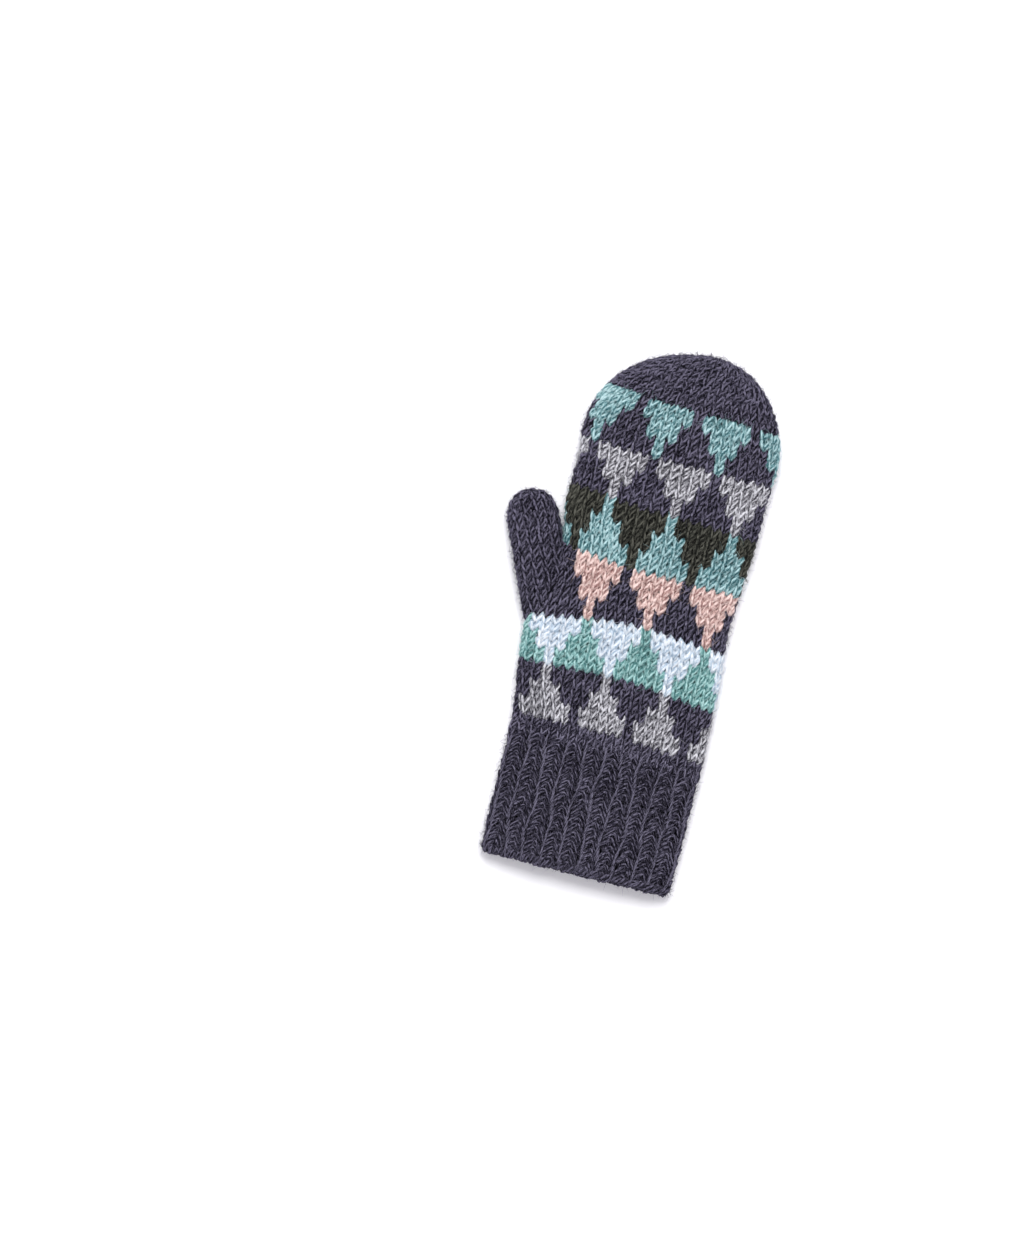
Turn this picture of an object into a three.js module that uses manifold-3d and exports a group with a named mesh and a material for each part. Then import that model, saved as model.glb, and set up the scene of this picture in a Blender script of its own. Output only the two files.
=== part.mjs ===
// A knitted wool mitten for the right hand, empty and lying on its palm.
// +Y runs from the cuff's mouth to the fingertip, +X is the little finger's side and +Z is up.
// The mitten rests on z = 0, and the origin is at the middle of its footprint.
// It is four knitted walls that follow each other round one open hollow: the ribbed cuff, the
// patterned hand with its thumb hole, the plain fingertip that closes it, and the thumb.
import * as THREE from "three";
import { mergeVertices } from "three/addons/utils/BufferGeometryUtils.js";
import Module from "manifold-3d";

// Driving dimensions, in millimetres and degrees.
const cuffLength = 70;
const cuffWidth = 97;
const cuffHeight = 18;
const cuffWall = 3.4;
const cuffLip = 1.2; // rounding of the cast-on edge
const ribCount = 21;
const ribDepth = 1.1;

const handLength = 162; // patterned knitting, from the cuff to the plain fingertip
const handWidth = 97;
const handHeight = 20;
const handWall = 4; // thicker than the cuff, because the idle colours run behind it
const sideRounding = 15; // how far the wall rolls in before it lies flat on the surface below

const tipLength = 48; // length of the round end, part of which the patterned hand takes
const capLength = 28; // length of the plain fingertip
const tipRoll = 15; // stretch before the very end over which the round end thins down
const tipLean = 6; // how far the very end leans to the little finger's side

const thumbLength = 46; // from the side of the hand to the end of the thumb
const thumbWidth = 26;
const thumbHeight = 17;
const thumbWall = 3.6;
const thumbRoot = 25; // how far the thumb's tube runs into the hand before it is trimmed
const thumbRound = 13; // length of the thumb's round end
const thumbRoll = 9;
const thumbPlace = 64.5; // from the cuff to where the thumb's axis leaves the side of the hand
const thumbTilt = 24.5;

const seamGap = 0.3; // clearance between one knitted wall and the next

// Shares that shape every cross-section.
const widestShare = 0.46; // height of the widest point, as a share of the section's height
const crownPower = 2.5; // 2 gives an elliptic crown, more a flatter one
const thumbCrownPower = 2.2;
const thumbRollShare = 1 / 3; // how far the thumb's wall rolls in, as a share of its width
const leastRoll = 0.5; // smallest roll-in left at the very end of a round end
const widthBlend = 0.25; // share of the hand over which the cuff's width becomes the hand's

// Points round each wall.
const cuffPointsPerRib = 4;
const handPoints = 56;
const thumbPoints = 30;
const outlineSteps = 240; // fine steps in which an outline is drawn before it is walked evenly

// Rings along each wall.
const cuffRings = 7;
const cuffInnerRings = 4;
const handRingsStraight = 13;
const thumbRings = 6;

// Cross-sections along the cuff: shares of its length, width and height, and of the rib's depth.
const cuffSections = [
  { along: 0.0, width: 0.95, height: 0.87, rib: 0.6 },
  { along: 0.06, width: 0.985, height: 0.89, rib: 1.0 },
  { along: 0.3, width: 0.995, height: 0.91, rib: 1.0 },
  { along: 0.7, width: 0.997, height: 0.95, rib: 1.0 },
  { along: 0.92, width: 1.0, height: 0.985, rib: 0.8 },
  { along: 1.0, width: 1.0, height: 1.0, rib: 0.0 },
];

// Cross-sections along the straight part of the hand: shares of that part's length, of half the
// hand's width on either side, and of the way from the cuff's height to the hand's.
const handSections = [
  { along: 0.0, thumbSide: 1.0, outerSide: 1.0, rise: 0.0 },
  { along: 0.15, thumbSide: 1.055, outerSide: 0.978, rise: 0.45 },
  { along: 0.28, thumbSide: 1.095, outerSide: 0.966, rise: 0.75 },
  { along: 0.37, thumbSide: 1.06, outerSide: 0.935, rise: 0.9 },
  { along: 0.47, thumbSide: 0.98, outerSide: 0.929, rise: 0.97 },
  { along: 0.6, thumbSide: 0.935, outerSide: 0.957, rise: 1.0 },
  { along: 0.75, thumbSide: 0.988, outerSide: 0.982, rise: 1.0 },
  { along: 0.88, thumbSide: 0.979, outerSide: 0.983, rise: 1.0 },
  { along: 1.0, thumbSide: 1.004, outerSide: 1.012, rise: 1.0 },
];

// Cross-sections along the thumb up to its round end: shares of that length, its width and height.
// The root is lower, so that it runs in under the hand's rounded side.
const thumbSections = [
  { along: 0.0, width: 1.0, height: 0.72 },
  { along: 0.3, width: 1.05, height: 0.94 },
  { along: 0.5, width: 1.04, height: 1.02 },
  { along: 0.8, width: 1.0, height: 1.0 },
  { along: 1.0, width: 0.98, height: 0.97 },
];

// Stations on a round end, as shares of the turn from where it starts to its very end.
const capStations = [0, 0.15, 0.28, 0.41, 0.54, 0.65, 0.75, 0.85, 0.94];
const innerCapStations = [0, 0.22, 0.4, 0.57, 0.72, 0.87];
const thumbCapStations = [0.22, 0.42, 0.6, 0.76, 0.89];

const degrees = Math.PI / 180;
const straightLength = handLength + capLength - tipLength;

// Value of one column of a section table at a share of the length: a cubic curve through the
// rows, whose slope at a row comes from the rows on either side.
function sectionValue(table, column, share) {
  const last = table.length - 1;
  const slopeAt = (row) => {
    const before = table[Math.max(row - 1, 0)];
    const after = table[Math.min(row + 1, last)];
    return (after[column] - before[column]) / (after.along - before.along);
  };
  const found = table.findIndex((row) => row.along >= share);
  const next = found < 0 ? last : Math.max(found, 1);
  const from = table[next - 1];
  const to = table[next];
  const span = to.along - from.along;
  const t = THREE.MathUtils.clamp((share - from.along) / span, 0, 1);
  return (
    (2 * t ** 3 - 3 * t ** 2 + 1) * from[column] +
    (t ** 3 - 2 * t ** 2 + t) * span * slopeAt(next - 1) +
    (3 * t ** 2 - 2 * t ** 3) * to[column] +
    (t ** 3 - t ** 2) * span * slopeAt(next)
  );
}

// Equal steps from 0 to 1, both included.
const evenShares = (count) => Array.from({ length: count }, (_, i) => i / (count - 1));

// A closed outline in x and z, from the middle of the crown towards +X: a crowned top, sides that
// are widest a little below half height, and a sole that lies flat between its rounded corners.
function sectionOutline(halfWidth, height, power, rounding) {
  const belly = height * widestShare;
  const corner = Math.min(rounding, halfWidth);
  const points = [];
  const quarter = outlineSteps / 4;
  for (let i = 0; i < 2 * quarter; i++) {
    const turn = (Math.PI / 2) * (1 - i / quarter);
    const across = Math.abs(Math.cos(turn)) ** (2 / power);
    const up = Math.abs(Math.sin(turn)) ** (2 / power);
    if (turn >= 0) points.push([halfWidth * across, belly + (height - belly) * up]);
    else {
      const roll = -turn;
      const x = halfWidth - corner + corner * Math.cos(roll);
      points.push([x, belly * (1 - Math.sin(roll))]);
    }
  }
  points.push([halfWidth - corner, 0]);
  const mirrored = points
    .slice(1)
    .reverse()
    .map(([x, z]) => [-x, z]);
  return [...points, ...mirrored];
}

// The outline walked in equal steps, as points with the inward direction at each.
function evenRing(outline, count) {
  const lengths = [0];
  outline.forEach(([x, z], i) => {
    const [nx, nz] = outline[(i + 1) % outline.length];
    lengths.push(lengths[i] + Math.hypot(nx - x, nz - z));
  });
  const total = lengths[outline.length];
  const at = (distance) => {
    const d = ((distance % total) + total) % total;
    let i = 0;
    while (lengths[i + 1] < d) i++;
    const t = (d - lengths[i]) / (lengths[i + 1] - lengths[i] || 1);
    const [ax, az] = outline[i];
    const [bx, bz] = outline[(i + 1) % outline.length];
    return [ax + (bx - ax) * t, az + (bz - az) * t];
  };
  const reach = total / count / 4;
  return Array.from({ length: count }, (_, k) => {
    const distance = (k / count) * total;
    const [x, z] = at(distance);
    const [ax, az] = at(distance - reach);
    const [bx, bz] = at(distance + reach);
    const size = Math.hypot(bx - ax, bz - az) || 1;
    return { x, z, inX: (bz - az) / size, inZ: -(bx - ax) / size, share: k / count };
  });
}

// One ring of a wall at y. inset moves it in from the outer face by a wall's thickness.
function wallRing(shape, inset, y, count) {
  const outline = sectionOutline(
    shape.halfWidth - inset,
    shape.height - 2 * inset,
    shape.power,
    Math.max(shape.rounding - inset, leastRoll),
  );
  return evenRing(outline, count).map((p) => {
    const depth = shape.ribDepth
      ? shape.ribDepth * 0.5 * (1 - Math.cos(2 * Math.PI * ribCount * p.share))
      : 0;
    return new THREE.Vector3(
      shape.centre + p.x + p.inX * depth,
      y,
      shape.lift + inset + p.z + p.inZ * depth,
    );
  });
}

// A closed skin over a list of rings: with two poles it ends in a point at either end, and
// without them the last ring joins the first.
function skin(rings, poles) {
  const count = rings[0].length;
  const positions = rings.flat().flatMap((p) => [p.x, p.y, p.z]);
  const indices = [];
  const bands = poles ? rings.length - 1 : rings.length;
  for (let r = 0; r < bands; r++) {
    const a = r * count;
    const b = ((r + 1) % rings.length) * count;
    for (let i = 0; i < count; i++) {
      const j = (i + 1) % count;
      indices.push(a + i, a + j, b + j, a + i, b + j, b + i);
    }
  }
  if (poles) {
    const first = rings.length * count;
    const last = (rings.length - 1) * count;
    poles.forEach((p) => positions.push(p.x, p.y, p.z));
    for (let i = 0; i < count; i++) {
      const j = (i + 1) % count;
      indices.push(first, j, i, first + 1, last + i, last + j);
    }
  }
  const geometry = new THREE.BufferGeometry();
  geometry.setAttribute("position", new THREE.Float32BufferAttribute(positions, 3));
  geometry.setIndex(indices);
  return geometry;
}

const wasm = await Module();
wasm.setup();

function toSolid(geometry) {
  const bare = geometry.clone();
  bare.deleteAttribute("normal");
  bare.deleteAttribute("uv");
  const merged = mergeVertices(bare, 1e-3);
  return new wasm.Manifold(
    new wasm.Mesh({
      numProp: 3,
      vertProperties: merged.attributes.position.array,
      triVerts: new Uint32Array(merged.index.array),
    }),
  );
}

function toGeometry(solid) {
  const mesh = solid.getMesh();
  const geometry = new THREE.BufferGeometry();
  geometry.setAttribute("position", new THREE.BufferAttribute(mesh.vertProperties, 3));
  geometry.setIndex(new THREE.BufferAttribute(mesh.triVerts, 1));
  return geometry;
}

// Shape of the cuff at a share of its length.
function cuffShape(share) {
  return {
    centre: 0,
    halfWidth: (cuffWidth / 2) * sectionValue(cuffSections, "width", share),
    height: cuffHeight * sectionValue(cuffSections, "height", share),
    lift: 0,
    power: crownPower,
    rounding: sideRounding,
    ribDepth: ribDepth * sectionValue(cuffSections, "rib", share),
  };
}

// Shape of the hand at a share of its straight part. It starts with the cuff's own size.
function handShape(share) {
  const half = THREE.MathUtils.lerp(cuffWidth, handWidth, Math.min(share / widthBlend, 1)) / 2;
  const left = half * sectionValue(handSections, "thumbSide", share);
  const right = half * sectionValue(handSections, "outerSide", share);
  const rise = sectionValue(handSections, "rise", share);
  return {
    centre: (right - left) / 2,
    halfWidth: (right + left) / 2,
    height: THREE.MathUtils.lerp(cuffHeight, handHeight, rise),
    lift: 0,
    power: crownPower,
    rounding: sideRounding,
  };
}

// Shape of a round end at an angle from its widest section. Its outline is an ellipse seen from
// above, and its height rolls down over the last stretch only, so that the end stays full.
function roundEndShape(widest, angle, length, roll, lean, inset) {
  const sine = Math.sin(angle);
  const toEnd = (length - inset) * (1 - sine);
  const innerRoll = Math.max(roll - inset, leastRoll);
  const thin = Math.sqrt(1 - Math.max(1 - toEnd / innerRoll, 0) ** 2);
  const height = (widest.height - 2 * inset) * thin;
  return {
    ...widest,
    centre: widest.centre + lean * sine ** 4,
    halfWidth: (widest.halfWidth - inset) * Math.cos(angle),
    height,
    lift: inset + (widest.height - 2 * inset - height) * widestShare,
    rounding: Math.max((widest.rounding - inset) * Math.cos(angle), leastRoll),
  };
}

// Rings of a round end, and its pole, in a frame where the widest section is at y.
function roundEndRings(widest, y, angles, length, roll, lean, inset, count) {
  const rings = angles.map((angle) => {
    const shape = roundEndShape(widest, angle * degrees, length, roll, lean, inset);
    return wallRing(shape, 0, y + (length - inset) * Math.sin(angle * degrees), count);
  });
  const middle = inset + (widest.height - 2 * inset) * widestShare;
  const pole = new THREE.Vector3(widest.centre + lean, y + length - inset, middle);
  return { rings, pole };
}

// Angle at which a round end of this length passes a plane at distance d from its widest section.
const angleAt = (d, length) => Math.asin(THREE.MathUtils.clamp(d / length, -1, 1)) / degrees;

function cuffGeometry() {
  const count = ribCount * cuffPointsPerRib;
  const body = cuffLength - seamGap / 2 - cuffLip;
  const rings = (steps, inset) =>
    evenShares(steps).map((share) =>
      wallRing(cuffShape(share), inset, cuffLip + share * body, count),
    );
  const lip = wallRing(cuffShape(0), cuffWall / 2, 0, count);
  return skin([lip, ...rings(cuffRings, 0), ...rings(cuffInnerRings, cuffWall).reverse()]);
}

const handStart = cuffLength;
const roundStart = handStart + straightLength;
const capStart = handStart + handLength;

// Rings of the hand's outer or inner face from y = start to y = end. grow moves both outwards.
function handRings(inset, start, end, grow) {
  const straight = evenShares(handRingsStraight).map((share) => {
    const y = Math.max(handStart + share * straightLength, start);
    return wallRing(handShape(share), inset - grow, y, handPoints);
  });
  const last = angleAt(end - roundStart, tipLength - inset + grow);
  const { rings } = roundEndRings(
    handShape(1),
    roundStart,
    [0.5 * last, last],
    tipLength,
    tipRoll,
    tipLean,
    inset - grow,
    handPoints,
  );
  return [...straight, ...rings];
}

function handShell() {
  const start = handStart + seamGap / 2;
  const end = capStart - seamGap / 2;
  const outer = handRings(0, start, end, 0);
  const inner = handRings(handWall, start, end, 0);
  return toSolid(skin([...outer, ...inner.reverse()]));
}

// The whole hand as one block, grown by the clearance: what the thumb's root is trimmed by.
function handBlock(grow) {
  const rings = handRings(0, handStart, capStart, grow);
  const poles = [rings[0], rings.at(-1)].map((ring) =>
    ring.reduce((sum, p) => sum.add(p), new THREE.Vector3()).divideScalar(ring.length),
  );
  return toSolid(skin(rings, poles));
}

function fingertipGeometry() {
  const start = capStart + seamGap / 2;
  const build = (stations, inset) => {
    const first = angleAt(start - roundStart, tipLength - inset);
    return roundEndRings(
      handShape(1),
      roundStart,
      stations.map((share) => THREE.MathUtils.lerp(first, 90, share)),
      tipLength,
      tipRoll,
      tipLean,
      inset,
      handPoints,
    );
  };
  const outer = build(capStations, 0);
  const inner = build(innerCapStations, handWall);
  return skin([...inner.rings.reverse(), ...outer.rings], [inner.pole, outer.pole]);
}

function thumbShape(share) {
  return {
    centre: 0,
    halfWidth: (thumbWidth / 2) * sectionValue(thumbSections, "width", share),
    height: thumbHeight * sectionValue(thumbSections, "height", share),
    lift: 0,
    power: thumbCrownPower,
    rounding: thumbWidth * thumbRollShare,
  };
}

// The thumb's outer or inner face as one closed block, its axis along +Y from the hand's side.
function thumbBlock(inset) {
  const straight = thumbLength - thumbRound;
  const tube = evenShares(thumbRings).map((share) =>
    wallRing(thumbShape(share), inset, share * (straight + thumbRoot) - thumbRoot, thumbPoints),
  );
  const end = roundEndRings(
    thumbShape(1),
    straight,
    thumbCapStations.map((share) => 90 * share),
    thumbRound,
    thumbRoll,
    0,
    inset,
    thumbPoints,
  );
  const heel = new THREE.Vector3(0, -thumbRoot, thumbShape(0).height * widestShare);
  return toSolid(skin([...tube, ...end.rings], [heel, end.pole]).applyMatrix4(thumbPlacement()));
}

// Where the thumb's axis leaves the side of the hand, and how it leans outwards.
function thumbPlacement() {
  const shape = handShape(thumbPlace / straightLength);
  return new THREE.Matrix4()
    .makeRotationZ(thumbTilt * degrees)
    .setPosition(shape.centre - shape.halfWidth, handStart + thumbPlace, 0);
}

// The hole in the hand is a little tighter than the thumb's bore and clears the hand's sole.
const thumbHole = thumbBlock(handWall + seamGap);

const wools = {
  charcoal: new THREE.MeshStandardMaterial({ color: 0x474252, roughness: 0.95, metalness: 0 }),
  patterned: new THREE.MeshStandardMaterial({ color: 0x7fa39c, roughness: 0.95, metalness: 0 }),
};

function piece(name, geometry, wool) {
  const mesh = new THREE.Mesh(geometry, wool);
  mesh.name = name;
  return mesh;
}

const mitten = new THREE.Group();
mitten.add(
  piece("cuff", cuffGeometry(), wools.charcoal),
  piece("hand", toGeometry(handShell().subtract(thumbHole)), wools.patterned),
  piece("fingertip", fingertipGeometry(), wools.charcoal),
  piece(
    "thumb",
    toGeometry(thumbBlock(0).subtract(thumbBlock(thumbWall)).subtract(handBlock(seamGap))),
    wools.charcoal,
  ),
);

const bounds = new THREE.Box3().setFromObject(mitten);
const centre = bounds.getCenter(new THREE.Vector3());
mitten.position.set(-centre.x, -centre.y, -bounds.min.z);

export default mitten;
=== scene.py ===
# %% [markdown]
# # A knitted wool mitten
# The mitten lies on its palm with the back of the hand up. It is one knitted tube: a ribbed cuff,
# a hand with bands of small triangles in seven wools, a plain fingertip closed by decreases, and
# a plain thumb. Wool this thick shows every stitch, so each stitch is built as the loop of yarn
# that it is. A picture of knitting laid on a smooth mitten would look flat at its edge and from
# the side, and loops don't.
#
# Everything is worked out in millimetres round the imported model's boxes, and becomes metres only
# when a mesh is made.

import bpy
import numpy as np
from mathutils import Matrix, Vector


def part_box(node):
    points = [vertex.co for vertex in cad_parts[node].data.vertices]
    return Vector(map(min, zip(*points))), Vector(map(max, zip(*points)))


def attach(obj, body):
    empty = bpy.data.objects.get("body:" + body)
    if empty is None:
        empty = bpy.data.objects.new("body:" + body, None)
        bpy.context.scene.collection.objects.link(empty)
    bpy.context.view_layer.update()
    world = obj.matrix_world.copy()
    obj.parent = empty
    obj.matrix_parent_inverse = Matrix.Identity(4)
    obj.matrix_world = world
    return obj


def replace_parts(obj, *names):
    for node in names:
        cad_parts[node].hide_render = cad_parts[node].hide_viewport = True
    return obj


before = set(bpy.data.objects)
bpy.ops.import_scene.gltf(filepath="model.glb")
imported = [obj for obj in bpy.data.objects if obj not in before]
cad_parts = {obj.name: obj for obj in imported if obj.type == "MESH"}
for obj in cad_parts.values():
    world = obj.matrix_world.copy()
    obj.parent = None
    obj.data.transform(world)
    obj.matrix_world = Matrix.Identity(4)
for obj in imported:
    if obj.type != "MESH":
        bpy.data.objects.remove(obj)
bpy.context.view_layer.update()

MM = 0.001
rng = np.random.default_rng(7)


def box_mm(node):
    """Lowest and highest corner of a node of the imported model, in millimetres."""
    low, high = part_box(node)
    return np.array(low) / MM, np.array(high) / MM


cuff_low, cuff_high = box_mm("cuff")
hand_low, hand_high = box_mm("hand")
tip_low, tip_high = box_mm("fingertip")
print("cuff", cuff_low, cuff_high)
print("hand", hand_low, hand_high)

# %% [markdown]
# ## The camera, the surface below and the light
# The photograph looks straight down on the mitten, which leans 14 degrees to the right in it. The
# pieces keep their own upright frame, so it is the camera that is turned instead. A long lens
# from three metres up keeps the sides from spreading.

# %% Camera
FRAME_CENTRE = np.array([-45.8, -20.1])  # where the middle of the picture falls, in mm
FRAME_HEIGHT = 609.0  # what the picture's height covers, in mm
LEAN = np.radians(14.0)
CAMERA_HEIGHT = 3.0
SENSOR = 36.0

camera_data = bpy.data.cameras.new("camera")
camera_data.sensor_fit = "VERTICAL"
camera_data.sensor_height = SENSOR
camera_data.lens = SENSOR * CAMERA_HEIGHT / (FRAME_HEIGHT * MM)
camera_data.clip_end = 20.0
camera = bpy.data.objects.new("camera", camera_data)
camera.location = (FRAME_CENTRE[0] * MM, FRAME_CENTRE[1] * MM, CAMERA_HEIGHT)
camera.rotation_euler = (0.0, 0.0, LEAN)
bpy.context.collection.objects.link(camera)
bpy.context.scene.camera = camera
print("lens", round(camera_data.lens, 1), "mm")

# %% [markdown]
# The light in the photograph is soft and comes from beyond the fingertip, so that a short shadow
# lies under the cuff's edge and almost none beside the hand. One large lamp does that, and a
# bright world fills the rest.

# %% Light
scene = bpy.context.scene
scene.view_settings.view_transform = "Standard"

WORLD_COLOUR = (0.97, 0.96, 1.0, 1.0)
WORLD_STRENGTH = 0.66

world = bpy.data.worlds.new("studio")
world.use_nodes = True
world.node_tree.nodes["Background"].inputs["Color"].default_value = WORLD_COLOUR
world.node_tree.nodes["Background"].inputs["Strength"].default_value = WORLD_STRENGTH
scene.world = world


def softbox(name, place, aim, size, power):
    """A square area lamp at a place, turned to look at a point. Lengths in metres, power in W."""
    data = bpy.data.lights.new(name, "AREA")
    data.shape = "SQUARE"
    data.size = size
    data.energy = power
    lamp = bpy.data.objects.new(name, data)
    direction = Vector(aim) - Vector(place)
    lamp.rotation_euler = direction.to_track_quat("-Z", "Y").to_euler()
    lamp.location = place
    bpy.context.collection.objects.link(lamp)
    return lamp


key = softbox("key", place=(-0.15, 0.85, 1.7), aim=(0.0, 0.0, 0.0), size=1.0, power=32.0)
print("lamp", key.data.energy, "W, world", WORLD_STRENGTH)

# %% [markdown]
# ## Shader maths
# A material is a small sum of textures, and sums read best as Python. `Wire` wraps one output of
# a node, so that `1 - groove * 0.4` adds the Math nodes by itself. Every other node comes from
# `Nodes.add`.

# %% Wires and nodes
class Wire:
    """One output of a node. Arithmetic with wires and numbers adds Math nodes."""

    def __init__(self, nodes, socket):
        self.nodes = nodes
        self.socket = socket

    def math(self, operation, *values):
        inputs = dict(enumerate(values))
        return self.nodes.add("ShaderNodeMath", {"operation": operation}, inputs)

    def __add__(self, other):
        return self.math("ADD", self, other)

    def __mul__(self, other):
        return self.math("MULTIPLY", self, other)

    def __sub__(self, other):
        return self.math("SUBTRACT", self, other)

    def __rsub__(self, other):
        return self.math("SUBTRACT", other, self)

    def __truediv__(self, other):
        return self.math("DIVIDE", self, other)

    __radd__ = __add__
    __rmul__ = __mul__

    def cosine(self):
        return self.math("COSINE", self)

    def clamped(self, low=0.0, high=1.0):
        """The value kept between two limits."""
        return self.math("MINIMUM", self.math("MAXIMUM", self, low), high)


class Nodes:
    """The node tree of one material, with its Principled shader."""

    def __init__(self, name):
        self.material = bpy.data.materials.new(name)
        self.material.use_nodes = True
        self.tree = self.material.node_tree
        self.shader = self.tree.nodes["Principled BSDF"]

    def put(self, socket, value):
        if isinstance(value, Wire):
            self.tree.links.new(value.socket, socket)
        else:
            socket.default_value = value

    def add(self, kind, settings=None, inputs=None, output=0):
        """A node of a kind: its settings first, then its inputs. Returns one output."""
        node = self.tree.nodes.new(kind)
        for key, value in (settings or {}).items():
            setattr(node, key, value)
        for key, value in (inputs or {}).items():
            self.put(node.inputs[key], value)
        return Wire(self, node.outputs[output])

    def blend(self, factor, first, second):
        """A colour between two, by a factor from 0 to 1.

        The Mix node has a pair of inputs and an output for each kind of value. Its colours are
        inputs 6 and 7 and output 2."""
        settings = {"data_type": "RGBA", "clamp_factor": True}
        inputs = {"Factor": factor, 6: first, 7: second}
        return self.add("ShaderNodeMix", settings, inputs, output=2)

    def finish(self, **inputs):
        """Feeds the shader's own sockets, named with underscores for spaces."""
        for key, value in inputs.items():
            self.put(self.shader.inputs[key.replace("_", " ")], value)
        return self.material


def linear(red, green, blue):
    """A colour as seen on a screen, 0 to 255, as the linear values a shader works in."""
    seen = np.array([red, green, blue]) / 255.0
    line = np.where(seen <= 0.04045, seen / 12.92, ((seen + 0.055) / 1.055) ** 2.4)
    return (*line.tolist(), 1.0)


# %% [markdown]
# ## The surface below
# A white light table, as small goods are photographed on. Its own weak glow washes out shadows
# until only the closest ones are left. It reaches far past the picture, so that no edge of it
# shows from any side, and its paint has the faintest mottling.

# %% Tabletop
TABLE_HALF = 3.0  # half the side of the sheet, in metres
GLOW_COLOUR = (0.94, 0.9, 1.0, 1.0)
GLOW = 0.12


def tabletop_material():
    """Near-white paint that glows a little, with a slow and very faint change of shade."""
    nodes = Nodes("pale_tabletop")
    place = nodes.add("ShaderNodeTexCoord", output="Object")
    cloud = nodes.add("ShaderNodeTexNoise", inputs={"Vector": place, "Scale": 6.0})
    colour = nodes.blend(cloud, linear(246, 246, 248), linear(250, 250, 251))
    glow = {"Emission_Color": GLOW_COLOUR, "Emission_Strength": GLOW}
    return nodes.finish(Base_Color=colour, Roughness=0.85, **glow)


def tabletop():
    """A flat square sheet at height 0, which the mitten's sole touches."""
    signs = [(-1, -1), (1, -1), (1, 1), (-1, 1)]
    corners = [(x * TABLE_HALF, y * TABLE_HALF, 0.0) for x, y in signs]
    mesh = bpy.data.meshes.new("tabletop")
    mesh.from_pydata(corners, [], [(0, 1, 2, 3)])
    mesh.materials.append(tabletop_material())
    sheet = bpy.data.objects.new("tabletop", mesh)
    bpy.context.collection.objects.link(sheet)
    return sheet


sheet = tabletop()
print(sheet.name, 2 * TABLE_HALF, "m wide")

# %% [markdown]
# ## The mitten's form
# The mitten's outer face is a list of cross-sections along its length. Each has a crowned top,
# sides that are widest a little below half height, and a sole that lies flat. The tables give
# each section as shares of the mitten's sizes, and a cubic curve runs through their rows.

# %% Sizes
MOUTH = cuff_low[1]
CUFF_TOP = (cuff_high[1] + hand_low[1]) / 2
CAP_START = (hand_high[1] + tip_low[1]) / 2
TIP_END = tip_high[1]
CENTRE_X = (cuff_low[0] + cuff_high[0]) / 2
WIDTH = cuff_high[0] - cuff_low[0]
CUFF_HEIGHT = cuff_high[2]
HAND_HEIGHT = hand_high[2]
ROUND_END = 48.0  # length of the round end, part of which the patterned hand takes
ROUND_START = TIP_END - ROUND_END
TIP_ROLL = 15.0  # stretch before the very end over which it thins down
TIP_LEAN = 6.0  # how far the very end leans to the little finger's side
SIDE_ROLL = 15.0  # how far the wall rolls in before it lies flat
WIDEST = 0.46  # height of the widest point, as a share of the section's height
CROWN_POWER = 2.5

THUMB_LENGTH = 46.0  # from the side of the hand to its tip
THUMB_WIDTH = 26.0
THUMB_HEIGHT = 17.0
THUMB_ROOT = 25.0  # how far its form goes on inside the hand
THUMB_ROUND = 13.0  # length of its round end
THUMB_ROLL = 9.0  # stretch before the very end over which it thins down
THUMB_PLACE = 64.5  # from the cuff to where its axis leaves the side of the hand
THUMB_TILT = np.radians(24.5)
THUMB_POWER = 2.2

CUFF_SECTIONS = {
    "along": [0.0, 0.06, 0.3, 0.7, 0.92, 1.0],
    "width": [0.95, 0.985, 0.995, 0.997, 1.0, 1.0],
    "height": [0.87, 0.89, 0.91, 0.95, 0.985, 1.0],
}
HAND_SECTIONS = {
    "along": [0.0, 0.15, 0.28, 0.37, 0.47, 0.6, 0.75, 0.88, 1.0],
    "thumb_side": [1.0, 1.055, 1.095, 1.06, 0.98, 0.935, 0.988, 0.979, 1.004],
    "outer_side": [1.0, 0.978, 0.966, 0.935, 0.929, 0.957, 0.982, 0.983, 1.012],
    "rise": [0.0, 0.45, 0.75, 0.9, 0.97, 1.0, 1.0, 1.0, 1.0],
}
THUMB_SECTIONS = {
    "along": [0.0, 0.3, 0.5, 0.8, 1.0],
    "width": [1.0, 1.05, 1.04, 1.0, 0.98],
    "height": [0.72, 0.94, 1.02, 1.0, 0.97],
}


def through(table, column, share):
    """A cubic curve through a table's rows; its slope at a row is that of its two neighbours."""
    x = np.array(table["along"])
    y = np.array(table[column])
    ahead = np.minimum(np.arange(len(x)) + 1, len(x) - 1)
    behind = np.maximum(np.arange(len(x)) - 1, 0)
    slope = (y[ahead] - y[behind]) / (x[ahead] - x[behind])
    share = np.clip(share, 0.0, 1.0)
    low = np.clip(np.searchsorted(x, share) - 1, 0, len(x) - 2)
    span = x[low + 1] - x[low]
    t = (share - x[low]) / span
    start = (2 * t**3 - 3 * t**2 + 1) * y[low] + (t**3 - 2 * t**2 + t) * span * slope[low]
    end = (3 * t**2 - 2 * t**3) * y[low + 1] + (t**3 - t**2) * span * slope[low + 1]
    return start + end


# %% Cross-sections
OUTLINE_POINTS = 181  # points on each half of a cross-section


def round_end(distance, length, roll):
    """Across and thickness shares at a distance into a round end, and how far round it is.

    Across is an ellipse, the root of 1 minus distance over length squared. The thickness stays
    full until the last stretch, roll, where it follows a quarter of an ellipse too."""
    sine = np.clip(distance / length, 0.0, 1.0)
    across = np.sqrt(1.0 - sine**2)
    left = np.clip(1.0 - (length - length * sine) / roll, 0.0, 1.0)
    return across, np.sqrt(1.0 - left**2), sine


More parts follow.
